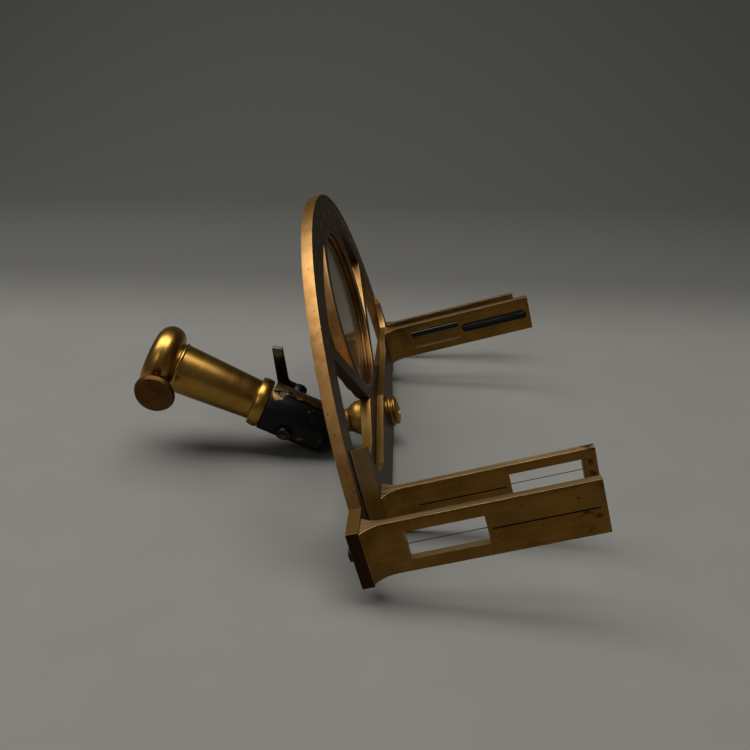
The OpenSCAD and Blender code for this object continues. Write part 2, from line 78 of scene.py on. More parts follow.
SLEEVE = (PLATE @ Matrix.Translation(BALL) @ Matrix.Rotation(SLEEVE_DIP, 4, "Y")
          @ Matrix.Rotation(SLEEVE_YAW, 4, "X"))
KNOB = SLEEVE @ Matrix.Rotation(KNOB_TURN, 4, "Z") @ Matrix.Translation((0, 0, KNOB_ALONG))
ALONG_X = Matrix.Rotation(radians(90), 4, "Y")
plate_turn = PLATE.to_3x3().normalized()
plate_x = plate_turn @ Vector((1, 0, 0))
print("pivot at", [round(v, 4) for v in PLATE @ Vector((0, 0, 0))])

# %% [markdown]
# ## The camera
# The camera was fitted to the limb's circle and to the four sights, so its place is known on the
# plate. It stands low at the near end and looks along the diameter. The fitted focal length is 733
# pixels in a square picture 750 pixels wide, which on a 36 mm sensor is a lens of about 35 mm. The
# optical centre lies a few pixels off the middle, and the lens shift takes that up.

# %% Camera
PICTURE, SENSOR = 750, 36.0
FOCAL, CENTRE_X, CENTRE_Y = 733.361, 370.776, 381.047
eye = Vector((51.03, -330.53, 137.71))
look = Vector((-0.1457, 0.9299, -0.3378))
up = Vector((0.2265, 0.3638, 0.9035))
back = -(plate_turn @ look).normalized()
right = (plate_turn @ up).cross(back).normalized()
above = back.cross(right)
lens = bpy.data.cameras.new("photo_lens")
lens.sensor_fit = "HORIZONTAL"
lens.sensor_width = SENSOR
lens.lens = FOCAL / PICTURE * SENSOR
lens.shift_x = (PICTURE / 2 - CENTRE_X) / PICTURE
lens.shift_y = (CENTRE_Y - PICTURE / 2) / PICTURE
lens.clip_start = 0.01
camera = bpy.data.objects.new("photo_camera", lens)
turn = Matrix((right, above, back)).transposed().to_4x4()
camera.matrix_world = Matrix.Translation(PLATE @ eye) @ turn
scene.collection.objects.link(camera)
scene.camera = camera
print("camera at", [round(v, 3) for v in camera.location], "lens", round(lens.lens, 2))

# %% [markdown]
# ## Small helpers
# Materials are node trees. One function adds a node, sets it up and links or fills its inputs, one
# turns a hex colour to the linear values that Blender works in, and one starts an empty material.
# Pieces end the same way each time: the bmesh becomes a mesh at the origin, gets its finish, and is
# told which body carries it and which solid it stands for.

# %% Nodes, colours and pieces
# A Mix node has sockets for numbers, vectors and colours under the same names, so these are the places
# of its share, its two colours and its colour output
SHARE, FIRST, SECOND, MIXED = 0, 6, 7, 2


def add(tree, kind, links=None, **settings):
    """Adds a node, sets it up, and links or fills its inputs."""
    node = tree.nodes.new(kind)
    for key, value in settings.items():
        setattr(node, key, value)
    for name, value in (links or {}).items():
        if isinstance(value, bpy.types.NodeSocket):
            tree.links.new(value, node.inputs[name])
        else:
            node.inputs[name].default_value = value
    return node


def srgb(code):
    """A colour such as '#c0ffee' as linear red, green, blue and alpha."""
    parts = [int(code[i:i + 2], 16) / 255 for i in (1, 3, 5)]
    return tuple(c / 12.92 if c <= 0.04045 else ((c + 0.055) / 1.055) ** 2.4 for c in parts) + (1.0,)


def new_material(name):
    """An empty node material with its shader linked to the output."""
    material = bpy.data.materials.new(name)
    material.use_nodes = True
    tree = material.node_tree
    tree.nodes.clear()
    shader = add(tree, "ShaderNodeBsdfPrincipled")
    add(tree, "ShaderNodeOutputMaterial", {"Surface": shader.outputs["BSDF"]})
    return material, tree, shader


def only(kind, geom):
    """The vertices, edges or faces among the results of an operator."""
    return [part for part in geom if isinstance(part, kind)]


def add_object(name, bm, *materials):
    """Turns a bmesh into an object at the origin, with its materials."""
    mesh = bpy.data.meshes.new(name)
    bm.to_mesh(mesh)
    bm.free()
    piece = bpy.data.objects.new(name, mesh)
    for material in materials:
        mesh.materials.append(material)
    scene.collection.objects.link(piece)
    return piece


def carry(piece, body, slot, *replaced):
    """Says which body a piece moves with and hides the solids that it stands for; slot is not used."""
    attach(piece, body)
    if replaced:
        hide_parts(*replaced)
    print(piece.name, "on", body, "faces", len(piece.data.polygons))


print("helpers ready")

# %% [markdown]
# ## The floor
# The instrument lies on a plain sweep of pale grey paper that rises behind it into a backdrop. The sweep
# is one edge, extruded back along the floor and then spun up through a quarter turn, so that no line shows
# where floor turns to wall. Paper is matt and faintly mottled, and its colour darkens towards the
# backdrop: painted shade, where less of the light reaches.

# %% Paper
# Uncoated paper: no gleam at all, and a cloudiness of the fibres that is only just seen
FIBRE_MM, FADE_NEAR, FADE_FAR = 40, 0.14, 0.33
paper, tree, shader = new_material("pale_grey_paper")
here = add(tree, "ShaderNodeTexCoord").outputs["Object"]
fibre = add(tree, "ShaderNodeTexNoise", {"Vector": here, "Scale": 1 / (FIBRE_MM * MM), "Detail": 4.0})
pale = add(tree, "ShaderNodeMix", {SHARE: fibre.outputs["Fac"], FIRST: srgb("#73726b"),
                                   SECOND: srgb("#7c7a74")}, data_type="RGBA")
place = add(tree, "ShaderNodeSeparateXYZ", {"Vector": here})
# Painted shade: the paper's colour darkens towards the backdrop, where less light falls
backdrop_shade = add(tree, "ShaderNodeMapRange", {"Value": place.outputs["Y"], "From Min": FADE_NEAR,
                                        "From Max": FADE_FAR}, interpolation_type="SMOOTHSTEP")
tone = add(tree, "ShaderNodeMix", {SHARE: backdrop_shade.outputs["Result"], FIRST: pale.outputs[MIXED],
                                   SECOND: srgb("#5a5954")}, data_type="RGBA")
tree.links.new(tone.outputs[MIXED], shader.inputs["Base Color"])
shader.inputs["Roughness"].default_value = 0.8
print("paper ready")

# %% Sweep
SWEEP_HALF, FLOOR_NEAR, FLOOR_FAR, BEND_R, WALL_H = 3.0, -1.6, 0.7, 0.5, 1.5
bm = bmesh.new()
first = [bm.verts.new((x, FLOOR_NEAR, 0)) for x in (-SWEEP_HALF, SWEEP_HALF)]
edge = bm.edges.new(first)
floor_end = bmesh.ops.extrude_edge_only(bm, edges=[edge])["geom"]
moved = only(bmesh.types.BMVert, floor_end)
bmesh.ops.translate(bm, verts=moved, vec=(0, FLOOR_FAR - FLOOR_NEAR, 0))
bend = bmesh.ops.spin(bm, geom=moved + only(bmesh.types.BMEdge, floor_end), cent=(0, FLOOR_FAR, BEND_R),
                      axis=(1, 0, 0), angle=radians(90), steps=24)
wall = bmesh.ops.extrude_edge_only(bm, edges=only(bmesh.types.BMEdge, bend["geom_last"]))["geom"]
bmesh.ops.translate(bm, verts=only(bmesh.types.BMVert, wall), vec=(0, 0, WALL_H))
for face in bm.faces:
    face.smooth = True
sweep = add_object("paper_sweep", bm, paper)
print("sweep faces:", len(sweep.data.polygons))

# %% [markdown]
# ## The light
# Soft studio light: one long soft box hangs overhead, from front to back. It runs along the sleeve and
# down the limb's rim as a bright band and lights the upper edges of the sights, while faces turned to
# the camera see the floor and stay dark. A weak lamp behind the camera keeps those readable. The world
# is a dim dome, a little lighter overhead.

# %% Lamps and dome
def soft_lamp(name, place, target, wide, long, watts):
    """An oblong area lamp that faces a point."""
    lamp = bpy.data.lights.new(name, "AREA")
    lamp.shape = "RECTANGLE"
    lamp.size = wide
    lamp.size_y = long
    lamp.energy = watts
    holder = bpy.data.objects.new(name, lamp)
    holder.location = place
    holder.rotation_euler = (Vector(target) - Vector(place)).to_track_quat("-Z", "Y").to_euler()
    scene.collection.objects.link(holder)


soft_lamp("soft_box", (-0.15, 0.02, 1.05), (-0.05, 0, 0.05), 0.6, 1.5, 15.0)
soft_lamp("fill", (-0.5, -1.1, 1.0), (0, 0, 0.05), 0.5, 0.5, 1.2)
world = bpy.data.worlds.new("dim_dome")
world.use_nodes = True
sky = world.node_tree
sky.nodes.clear()
height = add(sky, "ShaderNodeSeparateXYZ", {"Vector": add(sky, "ShaderNodeTexCoord").outputs["Generated"]})
shade = add(sky, "ShaderNodeMapRange", {"Value": height.outputs["Z"], "From Min": -0.1, "From Max": 0.9,
                                        "To Min": 0.05, "To Max": 0.12})
grey = add(sky, "ShaderNodeBackground", {"Color": srgb("#ffffff"), "Strength": shade.outputs["Result"]})
add(sky, "ShaderNodeOutputWorld", {"Surface": grey.outputs["Background"]})
scene.world = world
print("lamps and dome ready")

# %% [markdown]
# ## Aged brass
# Nearly everything here is old brass. It was filed flat or turned, lacquered, and then handled for
# generations: the lacquer has gone brown in patches, edges that hands and cases rub have stayed
# golden, and small pits hold dirt. The same build serves each brass, with its own tones and its own
# grain: long file strokes on flat work, and rings of fine tool marks on turned work. Edges that are
# softened below carry a face attribute called wear, and that is where the bright metal shows.

# %% How a brass is built
RUB_MM, PIT_MM, RELIEF_MM = 5, 3.2, 0.1
PIT_DIRT = "#1e1206"


def brass(name, bright, body, stain, grain, grain_mm, patch_mm=16.0, rough=(0.3, 0.46),
          strokes_show=0.12, pitted=0.55, relief=0.12):
    """Old brass in three tones, with patches, grain, pits and worn edges."""
    material, tree, shader = new_material(name)
    here = add(tree, "ShaderNodeTexCoord").outputs["Object"]

    # Brown patches in the lacquer
    patch = add(tree, "ShaderNodeTexNoise", {"Vector": here, "Scale": 1 / (patch_mm * MM), "Detail": 6.0,
                                             "Roughness": 0.62})
    patch = add(tree, "ShaderNodeMapRange", {"Value": patch.outputs["Fac"], "From Min": 0.4,
                                             "From Max": 0.68})
    tone = add(tree, "ShaderNodeMix", {SHARE: patch.outputs["Result"], FIRST: srgb(body),
                                       SECOND: srgb(stain)}, data_type="RGBA")

    # File strokes or tool marks, drawn coarser than the real ones so that they show
    strokes = add(tree, "ShaderNodeMapping", {"Vector": here, "Rotation": grain,
                                              "Scale": [size * MM for size in grain_mm]},
                  vector_type="TEXTURE")
    strokes = add(tree, "ShaderNodeTexNoise", {"Vector": strokes.outputs["Vector"], "Scale": 1.0,
                                               "Detail": 3.0})
    sheen = add(tree, "ShaderNodeMapRange", {"Value": strokes.outputs["Fac"], "From Min": 0.35,
                                             "From Max": 0.75, "To Min": 0.0, "To Max": strokes_show})
    tone = add(tree, "ShaderNodeMix", {SHARE: sheen.outputs["Result"], FIRST: tone.outputs[MIXED],
                                       SECOND: srgb(bright)}, data_type="RGBA")

    # Bright metal on rubbed edges
    wear = add(tree, "ShaderNodeAttribute", attribute_name="wear")
    rub = add(tree, "ShaderNodeTexNoise", {"Vector": here, "Scale": 1 / (RUB_MM * MM), "Detail": 4.0})
    rub = add(tree, "ShaderNodeMapRange", {"Value": rub.outputs["Fac"], "From Min": 0.3, "From Max": 0.6})
    rub = add(tree, "ShaderNodeMath", {0: rub.outputs["Result"], 1: wear.outputs["Fac"]},
              operation="MULTIPLY")
    tone = add(tree, "ShaderNodeMix", {SHARE: rub.outputs["Value"], FIRST: tone.outputs[MIXED],
                                       SECOND: srgb(bright)}, data_type="RGBA")

    # Pits that hold dirt
    pits = add(tree, "ShaderNodeTexVoronoi", {"Vector": here, "Scale": 1 / (PIT_MM * MM)})
    pits = add(tree, "ShaderNodeMapRange", {"Value": pits.outputs["Distance"], "From Min": 0.05,
                                            "From Max": 0.16, "To Min": pitted, "To Max": 0.0})
    tone = add(tree, "ShaderNodeMix", {SHARE: pits.outputs["Result"], FIRST: tone.outputs[MIXED],
                                       SECOND: srgb(PIT_DIRT)}, data_type="RGBA")
    tree.links.new(tone.outputs[MIXED], shader.inputs["Base Color"])

    # Gloss and relief follow the strokes and the pits
    gloss = add(tree, "ShaderNodeMapRange", {"Value": strokes.outputs["Fac"], "From Min": 0.25,
                                             "From Max": 0.75, "To Min": rough[0], "To Max": rough[1]})
    tree.links.new(gloss.outputs["Result"], shader.inputs["Roughness"])
    level = add(tree, "ShaderNodeMath", {0: strokes.outputs["Fac"], 1: pits.outputs["Result"]},
                operation="SUBTRACT")
    bump = add(tree, "ShaderNodeBump", {"Height": level.outputs["Value"], "Strength": relief,
                                        "Distance": RELIEF_MM * MM})
    tree.links.new(bump.outputs["Normal"], shader.inputs["Normal"])
    shader.inputs["Metallic"].default_value = 1.0
    return material, tree, shader


def toward(tree, where, axis, low, high):
    """A mask that is 1 where the surface points along a direction of the plate."""
    along = add(tree, "ShaderNodeVectorMath", {0: where.outputs["Normal"],
                                               1: tuple(plate_turn @ Vector(axis))},
                operation="DOT_PRODUCT")
    return add(tree, "ShaderNodeMapRange", {"Value": along.outputs["Value"], "From Min": low,
                                            "From Max": high})


print("brass can be built")

# %% [markdown]
# Each brass gets its own tones. The sights are filed sheet: their upper edges are pale, partly worn by
# handling and partly a painted highlight of the overhead lamp, and their outer tips are blotched almost
# black where fingers held them. The sleeve, the dome, the nut and the thumb screw were turned, so their
# gloss is tighter and their grain runs round.

# %% Filed and turned brass
FLAT_GRAIN = plate_turn.to_euler()
SLEEVE_GRAIN = (SLEEVE @ Matrix.Rotation(radians(-90), 4, "Y")).to_3x3().normalized().to_euler()
TIP_START, TIP_END, BLOT_MM = 0.066, 0.092, 4

# Filed sheet brass: a dull golden brown with faint strokes along it
filed_brass, tree, shader = brass("filed_aged_brass", "#c8a068", "#845e26", "#6a491a", FLAT_GRAIN,
                                  (45, 1.2, 1.2))
where = add(tree, "ShaderNodeTexCoord")
place = add(tree, "ShaderNodeSeparateXYZ", {"Vector": where.outputs["Object"]})
tip = add(tree, "ShaderNodeMapRange", {"Value": place.outputs["X"], "From Min": TIP_START,
                                       "From Max": TIP_END, "To Min": -0.2, "To Max": 0.06})
blot = add(tree, "ShaderNodeTexNoise", {"Vector": where.outputs["Object"], "Scale": 1 / (BLOT_MM * MM),
                                        "Detail": 3.0})
blot = add(tree, "ShaderNodeMath", {0: blot.outputs["Fac"], 1: tip.outputs["Result"]}, operation="ADD")
blot = add(tree, "ShaderNodeMapRange", {"Value": blot.outputs["Value"], "From Min": 0.62,
                                        "From Max": 0.7, "To Max": 0.75})
clean = shader.inputs["Base Color"].links[0].from_socket
# Up-facing edges turn paler: partly wear from handling, partly a painted highlight of the lamp overhead
top_wear_and_highlight = toward(tree, where, (0, 0, 1), 0.5, 1.1)
clean = add(tree, "ShaderNodeMix", {SHARE: top_wear_and_highlight.outputs["Result"], FIRST: clean,
                                    SECOND: srgb("#b89a6c")}, data_type="RGBA")
tone = add(tree, "ShaderNodeMix", {SHARE: blot.outputs["Result"], FIRST: clean.outputs[MIXED],
                                   SECOND: srgb("#2a1606")}, data_type="RGBA")
tree.links.new(tone.outputs[MIXED], shader.inputs["Base Color"])

# Turned and burnished brass: a long soft highlight down the sleeve, warm and nearly clean
turned_brass, _, _ = brass("turned_aged_brass", "#d9b068", "#b68a42", "#946e2c", SLEEVE_GRAIN,
                           (0.7, 60, 60), patch_mm=26.0, rough=(0.27, 0.35), strokes_show=0.1,
                           pitted=0.3, relief=0.03)

# Brass as it left the lathe: fine rings, so the highlight is broader and softer
lathe_brass, _, _ = brass("facing_turned_brass", "#cfa660", "#a67d3b", "#856227", FLAT_GRAIN,
                          (0.7, 60, 60), patch_mm=20.0, rough=(0.36, 0.48), strokes_show=0.1,
                          pitted=0.2, relief=0.05)

# Brass browned by handling: dark and reddish, with gold left only on its rim
knob_brass, _, _ = brass("browned_knob_brass", "#a87c44", "#5e3d1c", "#3c240f", FLAT_GRAIN, (8, 8, 8),
                         patch_mm=10.0, rough=(0.34, 0.5), strokes_show=0.15)
print("filed and turned brass ready")

# %% [markdown]
# The plate and the alidade are golden brass on their faces and on their edges alike. Their flat faces are
# painted a dark grey brown, a painted reflection of the dim room, which they face at a grazing angle. The
# edge walls stay golden. The exceptions are painted shade on the walls that look down and on the near
# ear's end, and a greyer painted reflection on the walls that look up. The surface's own direction tells
# them apart: along the plate's x axis it is a face, elsewhere an edge.

# %% Plate brass with painted light
# Cast and filed plate brass: matt golden metal whose edges draw the outline, with its faces painted dark
CLOUD_MM, EAR_START, EAR_END, EVERYWHERE = 22, -0.105, -0.115, 1.0
plate_brass, tree, shader = brass("plate_brass_with_painted_light", "#d8b07a", "#b98c54", "#946a36", FLAT_GRAIN,
                                  (5, 5, 5), patch_mm=9.0, rough=(0.5, 0.6), strokes_show=0.25,
                                  pitted=0.75, relief=0.25)
where = add(tree, "ShaderNodeTexCoord")
cloud = add(tree, "ShaderNodeTexNoise", {"Vector": where.outputs["Object"], "Scale": 1 / (CLOUD_MM * MM),
                                         "Detail": 6.0, "Roughness": 0.65})
place = add(tree, "ShaderNodeSeparateXYZ", {"Vector": where.outputs["Object"]})
near_ear = add(tree, "ShaderNodeMapRange", {"Value": place.outputs["Y"], "From Min": EAR_START,
                                            "From Max": EAR_END}).outputs["Result"]
# Dark brown for the flat faces, a painted reflection of the dim room
brown = ("#352a1f", "#54432f")
# Painted shade for walls that look down and for the near ear's end
painted_shade = ("#1d140a", "#402c16")
# Greyer brown for walls that look up, a painted reflection of the dark backdrop
painted_top_reflection = ("#523a1c", "#80622f")
bevel = ("#6a4a1c", "#94702f")
tone = shader.inputs["Base Color"].links[0].from_socket
# Each tone is mixed in where the surface points along a direction of the plate: painted shade, painted
# reflections, and the wings' bevel tone
for axis, low, high, tones, within in (((0, 0, -1), 0.3, 0.65, painted_shade, EVERYWHERE),
                                       ((0, -1, 0), 0.93, 0.98, painted_shade, near_ear),
                                       ((0, 0, 1), 0.86, 0.98, painted_top_reflection, EVERYWHERE),
                                       ((1, 0, 0), 0.85, 0.92, bevel, EVERYWHERE),
                                       ((1, 0, 0), 0.991, 0.996, brown, EVERYWHERE),
                                       ((-1, 0, 0), 0.991, 0.996, brown, EVERYWHERE)):
    colour = add(tree, "ShaderNodeMix", {SHARE: cloud.outputs["Fac"], FIRST: srgb(tones[0]),
                                         SECOND: srgb(tones[1])}, data_type="RGBA")
    mask = toward(tree, where, axis, low, high)
    mask = add(tree, "ShaderNodeMath", {0: mask.outputs["Result"], 1: within}, operation="MULTIPLY")
    tone = add(tree, "ShaderNodeMix", {SHARE: mask.outputs["Value"], FIRST: tone,
                                       SECOND: colour.outputs[MIXED]}, data_type="RGBA").outputs[MIXED]
tree.links.new(tone, shader.inputs["Base Color"])
print("browned plate ready")

# %% [markdown]
# ## Blackened iron
# The socket is cast iron with a baked black finish that has chipped to brown metal, mostly on the
# upper jaw. One noise decides where the black is lost, sooner on the softened edges, and the same mask
# makes those spots metallic and sinks them a little, as a chip in a thick coat is.

# %% Black finishes
FLAKE_MM, RUST_MM, CHIP_MM, THUMB_MM = 7, 2, 0.15, 3


def black_iron(name, chipped):
    """Baked black on iron; chipped is the share of the surface that has lost it."""
    material, tree, shader = new_material(name)
    here = add(tree, "ShaderNodeTexCoord").outputs["Object"]
    flake = add(tree, "ShaderNodeTexNoise", {"Vector": here, "Scale": 1 / (FLAKE_MM * MM), "Detail": 8.0,
                                             "Roughness": 0.6})
    wear = add(tree, "ShaderNodeAttribute", attribute_name="wear")
    lost = add(tree, "ShaderNodeMath", {0: wear.outputs["Fac"], 1: 0.16, 2: flake.outputs["Fac"]},
               operation="MULTIPLY_ADD")
    lost = add(tree, "ShaderNodeMapRange", {"Value": lost.outputs["Value"], "From Min": 0.72 - chipped,
                                            "From Max": 0.76 - chipped})
    rust = add(tree, "ShaderNodeTexNoise", {"Vector": here, "Scale": 1 / (RUST_MM * MM), "Detail": 4.0})
    bare = add(tree, "ShaderNodeMix", {SHARE: rust.outputs["Fac"], FIRST: srgb("#4a3118"),
                                       SECOND: srgb("#9c7a48")}, data_type="RGBA")
    tone = add(tree, "ShaderNodeMix", {SHARE: lost.outputs["Result"], FIRST: srgb("#0c0a09"),
                                       SECOND: bare.outputs[MIXED]}, data_type="RGBA")
    tree.links.new(tone.outputs[MIXED], shader.inputs["Base Color"])
    gloss = add(tree, "ShaderNodeMapRange", {"Value": rust.outputs["Fac"], "To Min": 0.26, "To Max": 0.5})
    tree.links.new(gloss.outputs["Result"], shader.inputs["Roughness"])
    tree.links.new(lost.outputs["Result"], shader.inputs["Metallic"])
    shader.inputs["Specular IOR Level"].default_value = 0.2
    bump = add(tree, "ShaderNodeBump", {"Height": lost.outputs["Result"], "Strength": 0.4,
                                        "Distance": CHIP_MM * MM}, invert=True)
    tree.links.new(bump.outputs["Normal"], shader.inputs["Normal"])
    return material, tree, shader


# Baked black iron: a deep dull black that swallows its own shape, with a few brown flecks
iron, _, _ = black_iron("black_baked_iron", 0.1)

# The same, where it is handled most: large brown patches with ragged black islands
chipped_iron, _, _ = black_iron("chipped_black_iron", 0.25)

# The same on the lever, whose tip thumbs have rubbed to a dull grey
lever_iron, tree, shader = black_iron("thumbed_black_iron", 0.0)
lever_top = max(corner.co.z for corner in nodes["clamp_lever"].data.vertices)
here = add(tree, "ShaderNodeTexCoord").outputs["Object"]
place = add(tree, "ShaderNodeSeparateXYZ", {"Vector": here})
rub = add(tree, "ShaderNodeTexNoise", {"Vector": here, "Scale": 1 / (THUMB_MM * MM), "Detail": 5.0})
rub = add(tree, "ShaderNodeMath", {0: rub.outputs["Fac"], 1: 4 * MM, 2: place.outputs["Z"]},
          operation="MULTIPLY_ADD")
rub = add(tree, "ShaderNodeMapRange", {"Value": rub.outputs["Value"], "From Min": lever_top - 4.2 * MM,
                                       "From Max": lever_top - 2.6 * MM, "To Max": 0.8})
black = shader.inputs["Base Color"].links[0].from_socket
tone = add(tree, "ShaderNodeMix", {SHARE: rub.outputs["Result"], FIRST: black, SECOND: srgb("#6c675c")},
           data_type="RGBA")
tree.links.new(tone.outputs[MIXED], shader.inputs["Base Color"])
print("black finishes ready")

# %% [markdown]
# ## Steel, silvering, glass and hair
# The rest are small pieces, and one build serves them: two close tones, mottled at a given size, with
# a gloss that varies along. Screws and pins are plain steel. The compass card is silvered brass that
# has tarnished. The glass is old, amber and a little hazy, and the sighting hairs are dark horsehair.
# Every solid of the model then gets the finish of its own material.

# %% Small finishes
def mottled(name, low, high, size_mm, metal, rough):
    """A finish of two close tones, mottled at a given size."""
    material, tree, shader = new_material(name)
    here = add(tree, "ShaderNodeTexCoord").outputs["Object"]
    cloud = add(tree, "ShaderNodeTexNoise", {"Vector": here, "Scale": 1 / (size_mm * MM), "Detail": 5.0,
                                             "Roughness": 0.6})
    tone = add(tree, "ShaderNodeMix", {SHARE: cloud.outputs["Fac"], FIRST: srgb(low),
                                       SECOND: srgb(high)}, data_type="RGBA")
    tree.links.new(tone.outputs[MIXED], shader.inputs["Base Color"])
    gloss = add(tree, "ShaderNodeMapRange", {"Value": cloud.outputs["Fac"], "To Min": rough[0],
                                             "To Max": rough[1]})
    tree.links.new(gloss.outputs["Result"], shader.inputs["Roughness"])
    shader.inputs["Metallic"].default_value = metal
    return material, tree, shader


# Bare steel: a cool grey gleam beside the warm brass
steel, _, _ = mottled("grey_steel", "#77787a", "#a5a6a8", 3.0, 1.0, (0.25, 0.45))
# Heat-blued steel: dark blue, bright only where it mirrors a lamp
blued_steel, _, _ = mottled("blued_steel", "#1b2440", "#2c3a66", 5.0, 1.0, (0.2, 0.35))
# Tarnished silvering: pale straw with a satin gloss, and the brass showing through
silvered, _, _ = mottled("silvered_brass", "#a58c5c", "#d6bf8c", 9.0, 1.0, (0.4, 0.6))
# Horsehair: a thin dark line with a faint gloss
hair, _, _ = mottled("horsehair", "#17110d", "#2a2018", 1.0, 0.0, (0.45, 0.6))
# Engraver's wax: matt brown black that fills a cut to the surface
wax, _, _ = mottled("black_engraving_wax", "#0d0a08", "#1f1811", 2.0, 0.0, (0.5, 0.7))
# Freshly cut brass: lines a shade lighter than the dark-looking plate round them
cut_brass, _, _ = mottled("bright_cut_brass", "#7c6239", "#9a7d4c", 2.0, 1.0, (0.5, 0.65))
# Old crown glass: an amber cast and a thin haze of dust, clear enough to read the card
glass, tree, shader = mottled("old_glass", "#cdb98a", "#dccb9f", 14.0, 0.0, (0.06, 0.2))
shader.inputs["Transmission Weight"].default_value = 0.94
shader.inputs["IOR"].default_value = 1.5
finishes = {"aged_brass": turned_brass, "browned_brass": plate_brass, "black_iron": iron, "steel": steel,
            "silvered_brass": silvered, "glass": glass, "hair": hair}
for row in frame["record"]["subparts"]:
    mesh = nodes[row["node"]].data
    mesh.materials.clear()
    mesh.materials.append(finishes[row["material_slot"]])

# %% [markdown]
# ## Flat work with softened edges
# The plate, the alidade, the sights, the socket's halves and the lever are already the right shape as
# solids, but every edge on them is a knife edge, and real edges are filed off and rubbed. A copy of each
# solid is merged, its flat faces are joined up again, and its sharp edges get a narrow bevel. The new
# bevel faces carry the wear attribute that the brass reads. The slit of a sight keeps its sharp edges, and
# the faces of the slit and of the groove that it lies in get the black wax finish, so that they show
# black.

# %% Softened copies
SEAM_MM = 0.002
SLIT_HALF, GROOVE_HALF, GROOVE_SLACK = 1.5, 2.7, 0.1
NEARLY_FLAT, LEAST_CURVE, LEAST_CORNER, CREASE = radians(0.4), radians(0.45), radians(25.0), radians(50)


def softened(node, width_mm, material, body, slot, slit=None):
    """A copy of a solid with its sharp edges bevelled and worn; a sight's slit stays crisp and black."""
    bm = bmesh.new()
    bm.from_mesh(nodes[node].data)
    wear = bm.faces.layers.float.new("wear")
    bmesh.ops.remove_doubles(bm, verts=bm.verts, dist=SEAM_MM * MM)
    bmesh.ops.dissolve_limit(bm, angle_limit=NEARLY_FLAT, verts=bm.verts, edges=bm.edges)
    sharp = [e for e in bm.edges if e.is_manifold and e.calc_face_angle(0.0) > LEAST_CORNER]
    if slit:
        flat = slit.inverted()
        sharp = [e for e in sharp if max(abs((flat @ v.co).z) for v in e.verts) > SLIT_HALF]
    made = bmesh.ops.bevel(bm, geom=sharp, offset=width_mm * MM, offset_type="OFFSET", affect="EDGES",
                           segments=2, profile=0.5, material=-1, clamp_overlap=True)
    for face in made["faces"]:
        face[wear] = 1.0
    bm.normal_update()
    for face in bm.faces:
        plain = [e.calc_face_angle(0.0) for e in face.edges if all(f[wear] == 0.0 for f in e.link_faces)]
        curved = any(LEAST_CURVE < angle < LEAST_CORNER for angle in plain)
        level = material is plate_brass and abs(face.normal.dot(plate_x)) > 0.9
        face.smooth = face[wear] > 0.0 or not level and curved
        if slit:
            reach = max(abs((flat @ v.co).z) for v in face.verts)
            face.material_index = int(reach < GROOVE_HALF + GROOVE_SLACK)
    for edge in bm.edges:
        edge.smooth = edge.calc_face_angle(0.0) < CREASE
    piece = add_object(node + "_softened", bm, material, *([wax] if slit else []))
    carry(piece, body, slot, node)


softened("limb_plate", 0.3, plate_brass, "frame", "browned_brass")
softened("alidade_bar", 0.25, plate_brass, "alidade", "browned_brass")
for end in ("near", "far"):
    softened("fixed_vane_" + end, 0.25, filed_brass, "frame", "aged_brass", PLATE)
    softened("alidade_vane_" + end, 0.25, filed_brass, "alidade", "aged_brass", ALIDADE)
softened("socket_shell", 0.5, iron, "head", "black_iron")
softened("socket_jaw", 0.5, chipped_iron, "jaw", "black_iron")
softened("clamp_lever", 0.3, lever_iron, "clamp", "black_iron")
softened("clamp_screw", 0.3, iron, "head", "black_iron")

# %% [markdown]
# ## Turned work
# The nut, the dome, the collar, the sleeve, the staff screw and the compass box came off a lathe, and
# spin is Blender's lathe: a half profile goes once round an axis. A profile is a closed or open line
# of radius and distance in millimetres. Beads and the sleeve's round end are arcs of points. After the
# spin, the remaining corners are rounded by a bevel, and faces square to the axis stay flat.

# %% The lathe
SPIN_STEPS, TURNED_CORNER, TURNED_WEAR, SQUARE = 96, radians(32), 0.7, 0.999


def arc(radius_at, along, size, start, end, steps=12):
    """Points on a round of the profile, from one angle to another, 0 pointing outwards."""
    turns = [radians(start + (end - start) * i / steps) for i in range(steps + 1)]
    return [(radius_at + size * cos(t), along + size * sin(t)) for t in turns]


def turned_piece(name, profile, place, round_mm, material, body, slot, *replaced, closed=True):
    """Spins a profile about z, rounds its corners and sends it to its place."""
    bm = bmesh.new()
    wear = bm.faces.layers.float.new("wear")
    line = [bm.verts.new((radius, 0, along)) for radius, along in profile]
    ends = line[1:] + line[:1] if closed else line[1:]
    edges = [bm.edges.new(pair) for pair in zip(line, ends)]
    bmesh.ops.spin(bm, geom=line + edges, cent=(0, 0, 0), axis=(0, 0, 1), angle=2 * pi,
                   steps=SPIN_STEPS, use_merge=True)
    bmesh.ops.remove_doubles(bm, verts=bm.verts, dist=SEAM_MM)
    bmesh.ops.recalc_face_normals(bm, faces=bm.faces)
    sharp = [e for e in bm.edges if e.is_manifold and e.calc_face_angle(0.0) > TURNED_CORNER]
    made = bmesh.ops.bevel(bm, geom=sharp, offset=round_mm, offset_type="OFFSET", affect="EDGES",
                           segments=3, profile=0.5, material=-1, clamp_overlap=True)
    for face in made["faces"]:
        face[wear] = TURNED_WEAR
    bm.normal_update()
    for face in bm.faces:
        face.smooth = abs(face.normal.z) < SQUARE
    bmesh.ops.transform(bm, matrix=place, verts=bm.verts)
    carry(add_object(name, bm, material), body, slot, *replaced)


print("lathe ready")

# %% [markdown]
# The nut on the pivot is two beads on a washer. The dome on the plate's back is a half ball on a low
# foot, with two small beads below the neck that goes on into the ball. Arcs give both their rounds, so
# that a bead is one line of numbers to change.

